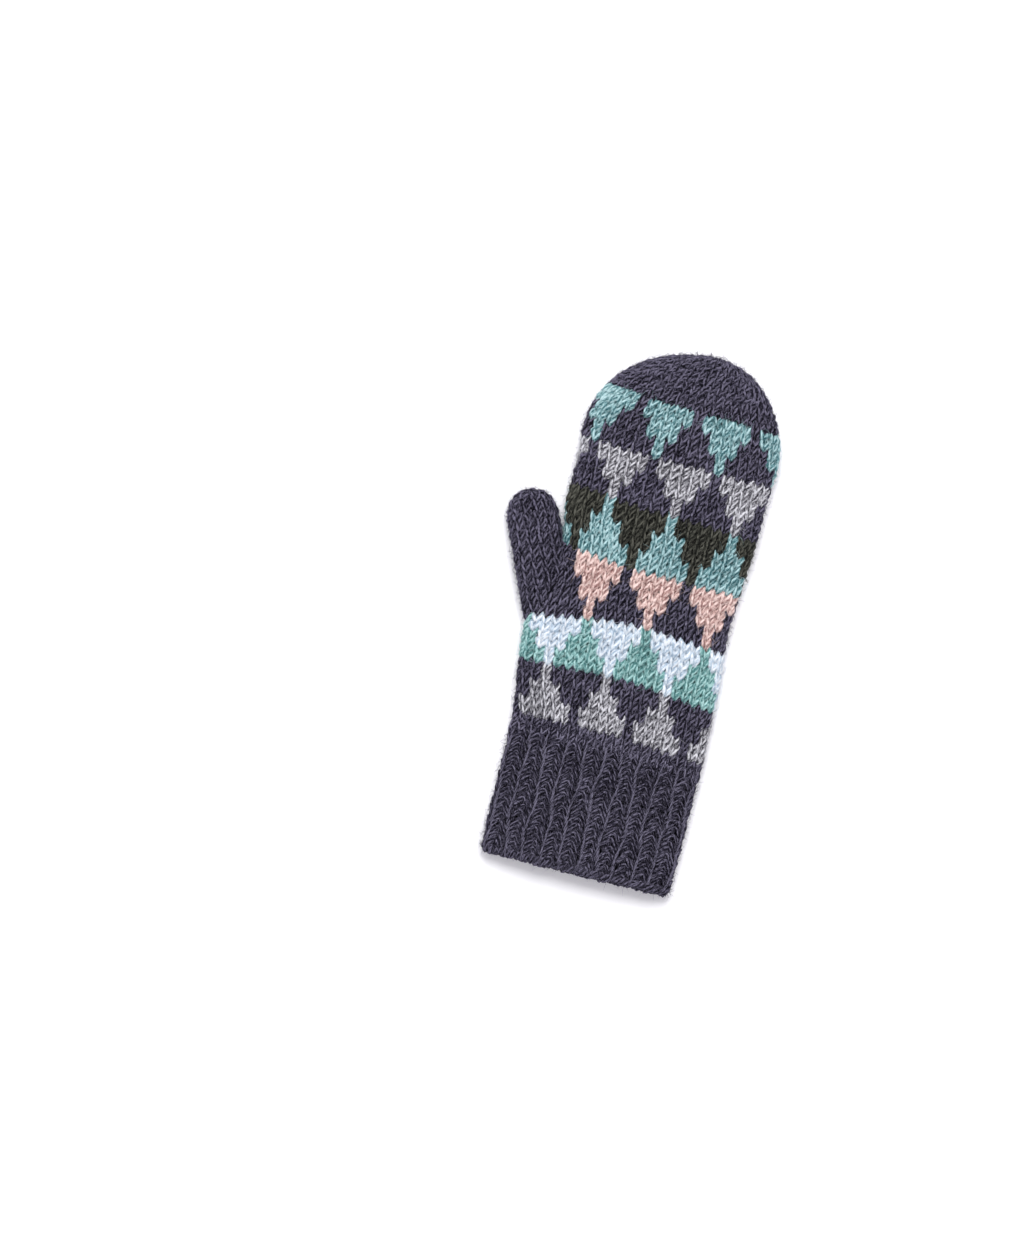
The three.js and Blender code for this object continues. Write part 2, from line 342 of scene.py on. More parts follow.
def mitten_sections(y):
    """Centre, half width, height, lift and roll of the cuff, hand and fingertip at each y."""
    in_cuff = (y - MOUTH) / (CUFF_TOP - MOUTH)
    in_hand = (y - CUFF_TOP) / (ROUND_START - CUFF_TOP)
    left = WIDTH / 2 * through(HAND_SECTIONS, "thumb_side", in_hand)
    right = WIDTH / 2 * through(HAND_SECTIONS, "outer_side", in_hand)
    rise = through(HAND_SECTIONS, "rise", in_hand)
    across, thickness, sine = round_end(y - ROUND_START, ROUND_END, TIP_ROLL)
    cuff = y < CUFF_TOP
    cuff_half = WIDTH / 2 * through(CUFF_SECTIONS, "width", in_cuff)
    cuff_height = CUFF_HEIGHT * through(CUFF_SECTIONS, "height", in_cuff)
    full = CUFF_HEIGHT + (HAND_HEIGHT - CUFF_HEIGHT) * rise
    centre = CENTRE_X + np.where(cuff, 0.0, (right - left) / 2 + TIP_LEAN * sine**4)
    half = np.where(cuff, cuff_half, (right + left) / 2 * across)
    height = np.where(cuff, cuff_height, full * thickness)
    lift = np.where(cuff, 0.0, full * (1 - thickness) * WIDEST)
    return centre, half, height, lift, SIDE_ROLL * across


def thumb_sections(y):
    """The same five columns for the thumb, along its own axis from the side of the hand."""
    straight = THUMB_LENGTH - THUMB_ROUND
    share = (y + THUMB_ROOT) / (straight + THUMB_ROOT)
    across, thickness, _ = round_end(y - straight, THUMB_ROUND, THUMB_ROLL)
    half = THUMB_WIDTH / 2 * through(THUMB_SECTIONS, "width", share) * across
    full = THUMB_HEIGHT * through(THUMB_SECTIONS, "height", share)
    roll = THUMB_WIDTH / 3 * across
    return np.zeros_like(y), half, full * thickness, full * (1 - thickness) * WIDEST, roll


def outline(half, height, roll, power):
    """One closed outline for each section, from the middle of the crown towards +X.

    The crown is a superellipse: half width times cosine and height times sine, each to the power
    of 2 over power. Below the widest point a quarter ellipse, roll wide, turns into the flat
    sole. The other half is its mirror image."""
    turn = np.linspace(np.pi / 2, -np.pi / 2, OUTLINE_POINTS)
    up = turn >= 0
    belly = height * WIDEST
    crown_x = half[:, None] * np.abs(np.cos(turn)) ** (2 / power)
    crown_z = belly[:, None] + (height - belly)[:, None] * np.abs(np.sin(turn)) ** (2 / power)
    roll = np.minimum(roll, half)
    foot_x = (half - roll)[:, None] + roll[:, None] * np.cos(turn)
    foot_z = belly[:, None] * (1 - np.abs(np.sin(turn)))
    x = np.where(up, crown_x, foot_x)
    z = np.where(up, crown_z, foot_z)
    x = np.concatenate([x, -x[:, ::-1]], axis=1)
    z = np.concatenate([z, z[:, ::-1]], axis=1)
    return x, z


# %% [markdown]
# ## A surface to knit on
# A stitch is laid on the mitten by three numbers: which share of the way round it sits, how far
# along the mitten it is, and how deep in the fabric. `Fabric` holds a fine grid of the outer
# face and of its normals, and turns such numbers into places.

# %% Fabric
ROUND_STEPS = 720  # steps of the grid round the mitten
STATION_STEP = 1.2  # mm between its rows
END_STATIONS = 90  # rows over a round end
BELOW_MOUTH = 3.0  # how far the grid goes on below the rim, in mm


class Fabric:
    """The outer face as a grid. Round is a share of the girth, along is mm over the crown."""

    def __init__(self, sections, stations, power, turn=0.0, place=(0.0, 0.0)):
        centre, half, height, lift, roll = sections(stations)
        x, z = outline(half, height, roll, power)
        steps = np.hypot(np.diff(x, axis=1), np.diff(z, axis=1))
        length = np.concatenate([np.zeros((len(x), 1)), np.cumsum(steps, axis=1)], axis=1)
        shares = np.linspace(0.0, 1.0, ROUND_STEPS + 1)
        ring = [np.interp(shares, s / s[-1], row) for s, row in zip(length, x)]
        rise = [np.interp(shares, s / s[-1], row) for s, row in zip(length, z)]
        y = np.broadcast_to(stations[:, None], (len(stations), len(shares)))
        grid = np.stack([centre[:, None] + ring, y, lift[:, None] + rise], axis=2)
        self.girth = length[:, -1]
        crown = np.linalg.norm(np.diff(grid[:, 0], axis=0), axis=1)
        self.along = np.concatenate([[0.0], np.cumsum(crown)])
        self.stations = stations
        across = np.roll(grid[:, :-1], -1, axis=1) - np.roll(grid[:, :-1], 1, axis=1)
        across = np.concatenate([across, across[:, :1]], axis=1)
        onward = np.gradient(grid, axis=0)
        normal = np.cross(across, onward)
        normal /= np.maximum(np.linalg.norm(normal, axis=2, keepdims=True), 1e-9)
        cosine, sine = np.cos(turn), np.sin(turn)
        spin = np.array([[cosine, -sine, 0.0], [sine, cosine, 0.0], [0.0, 0.0, 1.0]])
        self.grid = grid @ spin.T + np.array([*place, 0.0])
        self.normal = normal @ spin.T

    def along_at(self, y):
        """Distance over the crown at a station."""
        return np.interp(y, self.stations, self.along)

    def girth_at(self, along):
        """Length round the fabric at a distance over the crown."""
        return np.interp(along, self.along, self.girth)

    def at(self, share, along, depth):
        """Places, and the normals there, by straight lines between the grid's four corners."""
        row = np.interp(along, self.along, np.arange(len(self.along)))
        low_row = np.clip(row.astype(int), 0, len(self.along) - 2)
        row_part = (row - low_row)[..., None]
        column = (share % 1.0) * ROUND_STEPS
        low_column = np.clip(column.astype(int), 0, ROUND_STEPS - 1)
        column_part = (column - low_column)[..., None]

        def mix(field):
            near = field[low_row, low_column] * (1 - column_part)
            near = near + field[low_row, low_column + 1] * column_part
            far = field[low_row + 1, low_column] * (1 - column_part)
            far = far + field[low_row + 1, low_column + 1] * column_part
            return near * (1 - row_part) + far * row_part

        normal = mix(self.normal)
        normal = normal / np.maximum(np.linalg.norm(normal, axis=-1, keepdims=True), 1e-9)
        return mix(self.grid) + normal * depth[..., None], normal


def stations_to(start, straight_end, end):
    """Evenly spaced stations, drawn together towards the round end so that its curve is smooth.

    There they follow the sine of a turn that stops a degree short of the very end."""
    plain = np.arange(start, straight_end, STATION_STEP)
    turn = np.linspace(0.0, np.radians(89.0), END_STATIONS)
    return np.concatenate([plain, straight_end + (end - straight_end) * np.sin(turn)])


mitten_stations = stations_to(MOUTH - BELOW_MOUTH, ROUND_START, TIP_END)
mitten = Fabric(mitten_sections, mitten_stations, CROWN_POWER)
hand_edge = mitten_sections(np.array([CUFF_TOP + THUMB_PLACE]))
thumb_place = np.array([hand_edge[0][0] - hand_edge[1][0], CUFF_TOP + THUMB_PLACE])
thumb = Fabric(
    thumb_sections,
    stations_to(-THUMB_ROOT, THUMB_LENGTH - THUMB_ROUND, THUMB_LENGTH),
    THUMB_POWER,
    THUMB_TILT,
    thumb_place,
)
print("girth of the hand", round(float(mitten.girth_at(120.0)), 1), "mm")
print("length over the crown", round(float(mitten.along[-1]), 1), "mm")


def inside(sections, power, x, y, z, margin):
    """True where a point lies deeper than a margin inside the outer face."""
    centre, half, height, lift, roll = sections(y)
    half = half - margin
    height = height - 2 * margin
    z = z - lift - margin
    x = np.abs(x - centre)
    belly = height * WIDEST
    roll = np.minimum(np.maximum(roll - margin, 0.5), np.maximum(half, 0.5))
    top = (x / np.maximum(half, 0.1)) ** power
    top = top + (np.maximum(z - belly, 0.0) / np.maximum(height - belly, 0.1)) ** power
    side = np.maximum(x - (half - roll), 0.0) / roll
    foot = side**2 + (np.maximum(belly - z, 0.0) / np.maximum(belly, 0.1)) ** 2
    return np.where(z >= belly, top < 1, (foot < 1) & (z > 0)) & (half > 0) & (height > 0)


def in_thumb_frame(points):
    """A place in the mitten's frame, seen along the thumb's own axis."""
    x = points[..., 0] - thumb_place[0]
    y = points[..., 1] - thumb_place[1]
    cosine, sine = np.cos(THUMB_TILT), np.sin(THUMB_TILT)
    return cosine * x + sine * y, -sine * x + cosine * y, points[..., 2]


# %% [markdown]
# ## Yarn
# A stitch is a short length of yarn, so the one thing that is drawn thousands of times is a tube
# along a path. `strands` makes all the tubes of a piece at once. The yarn is three plies twisted
# together. A ring of six points, three further out and three further in, already has that
# section, and turning each ring a little more than the last one winds the plies round the yarn.
#
# The UV map runs along the yarn and round it with the plies. An attribute called tone says how
# light each point is: a stitch differs a little from its neighbours, yarn deep in the fabric gets
# painted shade, and the cords of the cuff, one arm of each arch and the loose fibres get painted
# highlights.

# %% Strands
def unit(vectors):
    """The same directions at length one."""
    return vectors / np.maximum(np.linalg.norm(vectors, axis=-1, keepdims=True), 1e-9)


PLIES = 3
PLY_TURN = 19.0  # mm of yarn in which a ply goes once round it
PLY_RIDGE = 0.17  # how far a ply stands out, as a share of the yarn's radius
RING_SIDES = 6
SKEIN = 60.0  # mm of yarn among which each tube starts, so that no two look the same


def strands(path, normal, radius, tone, sides=RING_SIDES, ridge=PLY_RIDGE):
    """Closed tubes: path and normal are (tubes, points, 3), radius and tone (tubes, points).

    A ring's point is the path plus radius times cosine along the side direction plus radius
    times sine along the outward one. The radius there is longer by ridge times minus the cosine
    of the number of plies times the point's angle, and the angle grows along the yarn."""
    tubes, points, _ = path.shape
    tangent = unit(np.gradient(path, axis=1))
    side = unit(np.cross(tangent, normal))
    out = np.cross(side, tangent)
    length = np.linalg.norm(np.diff(path, axis=1), axis=2)
    length = np.concatenate([np.zeros((tubes, 1)), np.cumsum(length, axis=1)], axis=1)
    start = rng.uniform(0.0, SKEIN, (tubes, 1))
    run = start + length
    place = 2 * np.pi * np.arange(sides) / sides
    turn = place - 2 * np.pi * run[:, :, None] / PLY_TURN
    reach = radius[:, :, None] * (1.0 - ridge * np.cos(PLIES * place))
    cosine, sine = np.cos(turn)[..., None], np.sin(turn)[..., None]
    across = cosine * side[:, :, None] + sine * out[:, :, None]
    rings = path[:, :, None] + reach[..., None] * across
    body = tubes * points * sides
    places = np.concatenate([rings.reshape(-1, 3), path[:, 0], path[:, -1]])
    ring_tone = np.repeat(tone.reshape(-1), sides)
    tones = np.concatenate([ring_tone, tone[:, 0], tone[:, -1]])

    tube, point, face = np.meshgrid(
        np.arange(tubes), np.arange(points - 1), np.arange(sides), indexing="ij"
    )
    first = (tube * points + point) * sides
    after = (face + 1) % sides
    quads = np.stack(
        [first + face, first + after, first + sides + after, first + sides + face], axis=-1
    ).reshape(-1, 4)
    u0, u1 = run[tube, point], run[tube, point + 1]
    v0, v1 = face / sides, (face + 1) / sides
    quad_uv = np.stack([u0, v0, u0, v1, u1, v1, u1, v0], axis=-1).reshape(-1, 2)

    tube, face = np.meshgrid(np.arange(tubes), np.arange(sides), indexing="ij")
    after = (face + 1) % sides
    head = tube * points * sides
    tail = head + (points - 1) * sides
    start_caps = np.stack([body + tube, head + after, head + face], axis=-1).reshape(-1, 3)
    end_caps = np.stack([body + tubes + tube, tail + face, tail + after], axis=-1).reshape(-1, 3)
    middle = (face + 0.5) / sides
    near, far = run[tube, 0], run[tube, points - 1]
    cap_uv = [
        np.stack([end, middle, end, face / sides, end, after / sides], axis=-1).reshape(-1, 2)
        for end in (near, far)
    ]
    return {
        "places": places,
        "quads": quads,
        "triangles": np.concatenate([start_caps, end_caps]),
        "quad_uv": quad_uv,
        "triangle_uv": np.concatenate(cap_uv),
        "tone": tones,
    }


RIM_POINTS = 6
PAD_UV = 0.35  # UV per mm across a pad; along the mitten it is twice that


def pads(path, normal, across, onward, half_width, half_height, thickness, tone):
    """Soft lenses that fill the fabric behind each stitch: a rim of points and two middles.

    The rim is an ellipse round the path point, half width times cosine across and half height
    times sine onward. The middles stand half the thickness in front of it and behind it."""
    turn = 2 * np.pi * np.arange(RIM_POINTS) / RIM_POINTS
    rim = path[:, None] + half_width[:, None, None] * np.cos(turn)[:, None] * across[:, None]
    rim = rim + half_height[:, None, None] * np.sin(turn)[:, None] * onward[:, None]
    count = len(path)
    front = path + normal * thickness / 2
    back = path - normal * thickness / 2
    places = np.concatenate([rim.reshape(-1, 3), front, back])
    pad, corner = np.meshgrid(np.arange(count), np.arange(RIM_POINTS), indexing="ij")
    after = pad * RIM_POINTS + (corner + 1) % RIM_POINTS
    here = pad * RIM_POINTS + corner
    first_front = count * RIM_POINTS
    upper = np.stack([first_front + pad, here, after], axis=-1).reshape(-1, 3)
    lower = np.stack([first_front + count + pad, after, here], axis=-1).reshape(-1, 3)
    triangles = np.concatenate([upper, lower])
    uv = np.stack([places[:, 1] * 2 * PAD_UV, places[:, 0] * PAD_UV], axis=1)
    return {
        "places": places,
        "quads": np.zeros((0, 4), int),
        "triangles": triangles,
        "quad_uv": np.zeros((0, 2)),
        "triangle_uv": uv[triangles.reshape(-1)],
        "tone": np.concatenate([np.repeat(tone, RIM_POINTS), tone, tone]),
    }


# %% [markdown]
# A piece joins its strands, pads and loose fibres in one mesh. The arrays go in whole, which
# takes a moment where adding faces one by one would take minutes.

# %% Pieces
TABLE_CLEARANCE = 0.05  # mm, lowest that a stitch comes
made = {}  # triangles of each piece


def knit_piece(name, parts, material, slot):
    """One object from several parts, in metres, riding on the mitten.

    Where a stitch would dip under the table, it is pressed flat on it, as soft wool is."""
    shift = np.cumsum([0] + [len(part["places"]) for part in parts])
    places = np.concatenate([part["places"] for part in parts])
    places[:, 2] = np.maximum(places[:, 2], TABLE_CLEARANCE)
    places = places * MM
    quads = np.concatenate([part["quads"] + s for part, s in zip(parts, shift)])
    triangles = np.concatenate([part["triangles"] + s for part, s in zip(parts, shift)])
    uv = [part["quad_uv"] for part in parts] + [part["triangle_uv"] for part in parts]
    uv = np.concatenate(uv)
    corners = np.concatenate([quads.reshape(-1), triangles.reshape(-1)])
    sizes = np.concatenate([np.full(len(quads), 4), np.full(len(triangles), 3)])
    starts = np.concatenate([[0], np.cumsum(sizes)[:-1]])
    mesh = bpy.data.meshes.new(name)
    mesh.vertices.add(len(places))
    mesh.vertices.foreach_set("co", places.astype(np.float32).reshape(-1))
    mesh.loops.add(len(corners))
    mesh.polygons.add(len(sizes))
    mesh.polygons.foreach_set("loop_start", starts.astype(np.int32))
    mesh.polygons.foreach_set("vertices", corners.astype(np.int32))
    mesh.polygons.foreach_set("use_smooth", np.ones(len(sizes), bool))
    layer = mesh.uv_layers.new(name="yarn")
    layer.data.foreach_set("uv", uv.astype(np.float32).reshape(-1))
    tones = np.concatenate([part["tone"] for part in parts])
    tone = mesh.attributes.new("tone", "FLOAT", "POINT")
    tone.data.foreach_set("value", tones.astype(np.float32))
    mesh.update(calc_edges=True)
    mesh.validate()
    mesh.materials.append(material)
    piece = bpy.data.objects.new(name, mesh)
    bpy.context.collection.objects.link(piece)
    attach(piece, "root")
    triangle_count = 2 * len(quads) + len(triangles)
    made[name] = triangle_count
    print(name, triangle_count, "triangles")
    return piece


# %% [markdown]
# ## The wool
# What the eye reads as wool is contrast at the size of a fibre. Each ply gets a painted highlight
# on its crest and painted shade in the groove beside it, and along a ply, single fibres of lighter
# and darker wool come and go as strokes two or three millimetres long. A cosine round the yarn
# paints the highlights and the shade. A noise on the yarn's own UV map, stretched along the yarn,
# gives the strokes, and its lightest parts become the pale fibres that heathered wool has in it.
# Sheen stands for the fine hairs that catch light at the edge of every stitch.
#
# The shade is one sum: the painted ply highlights and shade, the strokes, a slow mottling and the
# tone of the stitch, with its own painted shade and highlights. From its low end to 0.6 it runs
# from dark to middle, and above 1 minus the pale share it turns pale.

# %% Wool material
BROAD_STROKES = 1.45  # strength of the strokes that are as wide as a third of a ply
FINE_STROKES = 2.1  # strength of the ones that are as wide as a fibre
MOTTLING = 0.3
DARK_END = 1.6  # how many times faster than the shade the ground leaves its dark end
SHEEN = 0.12
BUMP_HEIGHT = 0.0004  # metres


def wool(name, dark, middle, pale, pale_share, contrast, ply_shading_strength):
    """Plied wool: painted shade in the grooves, a middle shade, and on the crests painted
    highlights and strokes of a pale fibre.

    The last argument says how strongly the painted highlights on the crests and the painted shade
    in the grooves show in it."""
    nodes = Nodes(name)
    uv = nodes.add("ShaderNodeUVMap", {"uv_map": "yarn"})
    along = nodes.add("ShaderNodeSeparateXYZ", inputs={"Vector": uv})
    around = Wire(nodes, along.socket.node.outputs["Y"])
    # painted highlight on each ply's crest and painted shade in the groove beside it
    ply_shading = 0.0 - (around * (2 * np.pi * PLIES)).cosine()
    tone = nodes.add("ShaderNodeAttribute", {"attribute_name": "tone"}, output="Fac")

    def strokes(across_scale, along_scale, detail):
        """Noise from -0.5 to 0.5, stretched along the yarn."""
        axes = {"X": around * across_scale, "Y": along * along_scale}
        place = nodes.add("ShaderNodeCombineXYZ", inputs=axes)
        settings = {"noise_dimensions": "2D"}
        inputs = {"Vector": place, "Scale": 1.0, "Detail": detail, "Roughness": 0.65}
        return nodes.add("ShaderNodeTexNoise", settings, inputs) - 0.5

    broad = strokes(10.0, 0.4, 1.0)
    fine = strokes(24.0, 0.9, 2.0)
    place = nodes.add("ShaderNodeTexCoord", output="Object")
    inputs = {"Vector": place, "Scale": 55.0, "Detail": 1.0}
    cloud = nodes.add("ShaderNodeTexNoise", inputs=inputs) - 0.5
    shade = ply_shading * ply_shading_strength + broad * BROAD_STROKES + fine * FINE_STROKES + cloud * MOTTLING
    shade = (shade * contrast + tone).clamped()
    ground = nodes.blend(shade * DARK_END, dark, middle)
    # the pale colour: pale fibres from the strokes, and painted highlights where the painted ply
    # light and the tone run high
    pale_fibre_and_highlight = ((shade - 1.0 + pale_share) / pale_share).clamped()
    colour = nodes.blend(pale_fibre_and_highlight, ground, pale)
    bump = nodes.add(
        "ShaderNodeBump",
        inputs={"Strength": 0.8, "Distance": BUMP_HEIGHT, "Height": fine + broad},
        output="Normal",
    )
    return nodes.finish(
        Base_Color=colour,
        Roughness=0.95,
        Specular_IOR_Level=0.12,
        Sheen_Weight=SHEEN,
        Sheen_Roughness=0.4,
        Sheen_Tint=middle,
        Normal=bump,
    )


# %% [markdown]
# Eight finishes come from that one function. A row gives the dark, the middle and the pale colour
# as seen on a screen, then the share of pale fibres, the contrast and the strength of the painted
# ply highlights and shade. The dark colour serves the dark fibres and the painted shade alike. The
# cuff is of the charcoal yarn too, but it gets a finish of its own, a shade paler and with softer
# painted ply shading.

# %% Wools
SHADES = {
    "charcoal": [(9, 8, 16), (34, 31, 46), (113, 109, 129), 0.52, 1.4, 0.32],
    "cuff": [(15, 13, 23), (39, 36, 52), (126, 122, 142), 0.5, 1.35, 0.25],
    "grey": [(42, 41, 48), (138, 136, 143), (220, 220, 226), 0.5, 1.1, 0.32],
    "white": [(146, 168, 188), (206, 221, 235), (246, 249, 253), 0.6, 0.75, 0.32],
    "teal": [(56, 100, 102), (110, 160, 158), (184, 222, 220), 0.55, 0.85, 0.32],
    "rose": [(128, 92, 90), (213, 178, 171), (248, 226, 220), 0.55, 0.85, 0.32],
    "mint": [(42, 81, 88), (110, 154, 159), (188, 218, 221), 0.55, 0.95, 0.32],
    "green": [(12, 13, 12), (38, 39, 34), (94, 94, 86), 0.55, 1.0, 0.32],
}
WOOLS = {}
for name, (dark, middle, pale, *amounts) in SHADES.items():
    WOOLS[name] = wool(name + "_wool", linear(*dark), linear(*middle), linear(*pale), *amounts)
print("finishes", [material.name for material in WOOLS.values()])

# %% [markdown]
# ## Rows and columns
# The mitten is knitted from the cuff up. Forty-two stitches go round the hand, seven repeats of
# six, and the pattern has six bands of six rows. A figure is a triangle that grows or shrinks by
# two stitches every second row, so a band is written as the width of its figure from the bottom
# row up, with the place of its middle column in the repeat.

# %% Chart
REPEAT = 6
STITCHES = 42
RIB_ROWS = 19
CAP_FACES = [17, 17, 17, 15, 15, 13, 11, 9, 7, 3]  # columns on each face of the fingertip
EDGE_COLUMNS = 4  # columns that run up each side edge of it
GROWING = [1, 1, 3, 3, 5, 5]
SHRINKING = [5, 5, 3, 3, 1, 1]
BANDS = [
    {"ground": "charcoal", "figure": "grey", "widths": SHRINKING, "middle": 4, "tall": 27.0},
    {"ground": "teal", "figure": "white", "widths": GROWING, "middle": 4, "tall": 27.0},
    {"ground": "charcoal", "figure": "rose", "widths": GROWING, "middle": 1, "tall": 26.0},
    {"ground": "green", "figure": "mint", "widths": SHRINKING, "middle": 1, "tall": 30.0},
    {"ground": "charcoal", "figure": "grey", "widths": GROWING, "middle": 1, "tall": 25.0},
    {"ground": "charcoal", "figure": "mint", "widths": GROWING, "middle": 4, "tall": 27.0},
]


def chart():
    """The wool of every stitch of the patterned hand, as a list of rows from the cuff up."""
    column = np.arange(STITCHES)
    rows = []
    for band in BANDS:
        offset = (column - band["middle"] + REPEAT // 2) % REPEAT - REPEAT // 2
        for width in band["widths"]:
            figure = np.abs(offset) <= (width - 1) // 2
            rows.append(np.where(figure, band["figure"], band["ground"]))
    return rows


chart_rows = chart()
for row in chart_rows[::-1]:
    print("".join(wool_name[0] for wool_name in row))

# %% [markdown]
# Each stitch gets a line in one table: where its middle sits round the mitten at its foot and at
# its head, how wide it is, where its row starts and how tall it is. The plain fingertip is a
# wedge: four columns run up each side edge, the columns between them stand straight, and every
# second row or so the outermost of these lean in and end, two on the back and two on the palm.

# %% Table of stitches
along_cuff_top = mitten.along_at(CUFF_TOP)
along_cap = mitten.along_at(CAP_START)
along_mouth = mitten.along_at(MOUTH)
PLAIN_ROWS = 2  # plain rows between the ribs and the pattern
PLAIN_TALL = 8.6  # height of the two together, in mm


def even_rows(count, edges, wools):
    """A table of stitches that stand in straight columns: edges of the rows, wool of each."""
    rows = len(edges) - 1
    row, column = [part.reshape(-1) for part in np.mgrid[0:rows, 0:count]]
    edges = np.asarray(edges)
    share = (column + 0.5) / count
    return {
        "foot": share,
        "head": share,
        "width": np.full(len(row), 1.0 / count),
        "start": edges[row],
        "tall": edges[row + 1] - edges[row],
        "wool": np.concatenate([np.broadcast_to(row_wools, count) for row_wools in wools]),
    }


def wedge_row(face, face_before, low, high):
    """One row of the fingertip.

    A column of a face is counted from its middle, so it keeps its number while the row gets
    shorter. Its place round is that number over the row's stitches, from the middle of the back
    or of the palm. A column too many takes the place of the last one as its head. The columns of
    the side edges stand round a quarter and three quarters of the way."""
    total, before = 2 * (face + EDGE_COLUMNS), 2 * (face_before + EDGE_COLUMNS)
    number = np.arange(face_before) - (face_before - 1) / 2
    last = (face - 1) / 2
    foot = number / before
    head = np.clip(number, -last, last) / total
    edge = np.arange(EDGE_COLUMNS) - (EDGE_COLUMNS - 1) / 2
    foot = np.concatenate([foot, 0.25 + edge / before, 0.5 + foot, 0.75 + edge / before])
    head = np.concatenate([head, 0.25 + edge / total, 0.5 + head, 0.75 + edge / total])
    count = len(foot)
    return {
        "foot": foot,
        "head": head,
        "width": np.full(count, 1.0 / total),
        "start": np.full(count, low),
        "tall": np.full(count, high - low),
        "wool": np.full(count, "charcoal"),
    }


def joined(tables):
    """Several tables as one."""
    return {key: np.concatenate([table[key] for table in tables]) for key in tables[0]}


def picked(table, mask):
    """The lines of a table where the mask is true."""
    return {key: value[mask] for key, value in table.items()}


# %% [markdown]
# Knitting never lies as straight as its chart. The thumb pulls the fabric down beside its foot
# and up above its crotch, the edges of the flat mitten sag, and the columns wander a few
# millimetres to one side and back. Two small tables say how far, in millimetres, at some heights
# above the cuff, for the left edge, the middle and the right edge of the back of the hand.

# %% How the fabric settles
SIDE_SINE = 0.81  # sine of the way round at which the left and right values were measured
PALM_START = -0.3  # cosine of the way round at which the sideways drift has faded out
SETTLE_HEIGHTS = [0.0, 20.0, 48.0, 61.0, 76.0, 94.0, 130.0, 145.0, 165.0, 190.0]
DRIFT = {
    "left": [4.9, 2.4, 3.4, 0.5, -3.4, -5.4, -4.9, -4.4, -1.5, 0.0],
    "middle": [1.9, 1.9, 2.4, -1.0, -2.9, -3.4, -3.4, -2.9, -2.4, 0.0],
    "right": [0.0, 0.5, 1.9, 0.5, -1.5, -1.0, -1.5, -2.9, -1.9, 0.0],
}
RISE_HEIGHTS = [0.0, 27.0, 54.0, 64.0, 80.0, 110.0, 135.0, 162.0, 190.0]
RISE = {
    "left": [0.0, -1.5, -6.0, -3.0, 4.9, 4.4, 2.4, 4.0, 0.0],
    "right": [-3.5, -4.9, -3.2, -1.5, -0.5, -2.4, -0.5, -1.5, 0.0],
}


def settled(share, along):
    """Where a point of the fabric ends up, as a new share of the way round and a new height.

    Sideways, a parabola through the left, middle and right values that fades out on the palm.
    Upwards, each edge's value times the square of the sine of the way round."""
    height = along - along_cuff_top
    sine, cosine = np.sin(2 * np.pi * share), np.cos(2 * np.pi * share)
    left, middle, right = [np.interp(height, SETTLE_HEIGHTS, DRIFT[key]) for key in DRIFT]
    across = sine / SIDE_SINE
    shift = middle + (right - left) / 2 * across + ((left + right) / 2 - middle) * across**2
    back_of_hand = np.clip((cosine - PALM_START) / (1.0 + PALM_START), 0.0, 1.0)
    back_of_hand = back_of_hand**2 * (3 - 2 * back_of_hand)
    left, right = [np.interp(height, RISE_HEIGHTS, RISE[key]) for key in RISE]
    rise = sine**2 * np.where(sine < 0, left, right)
    return share + shift * back_of_hand / mitten.girth_at(along), along + rise


# %% [markdown]
# ## A knit stitch
# A knit stitch is a loop: up one leg, over the head and down the other leg, with its feet joined
# to its neighbours. The head goes behind the next row's legs, so from the front only the two
# legs show, as a V. Three waves draw the loop. Across, it runs evenly with a wave of two beats
# that pinches the feet and spreads the heads, along it is one cosine, and in depth a wave of two
# beats brings the legs forward.

# %% Knit stitches
YARN = 1.12  # radius of the yarn
DEPTH = 2.05  # middle of the fabric, under the outer face
PINCH = 0.27
LOOP_RISE = 1.62  # height of a loop, in rows
SWAY = 0.72  # how far the legs come forward and the heads go back
LOOP_POINTS = 12
PAD_SHADE = 0.18  # tone of the filling, which lies in shade
PAD_SIZE = (1.3, 1.35, 1.5)  # half width and half height, both in half stitches; mm thick


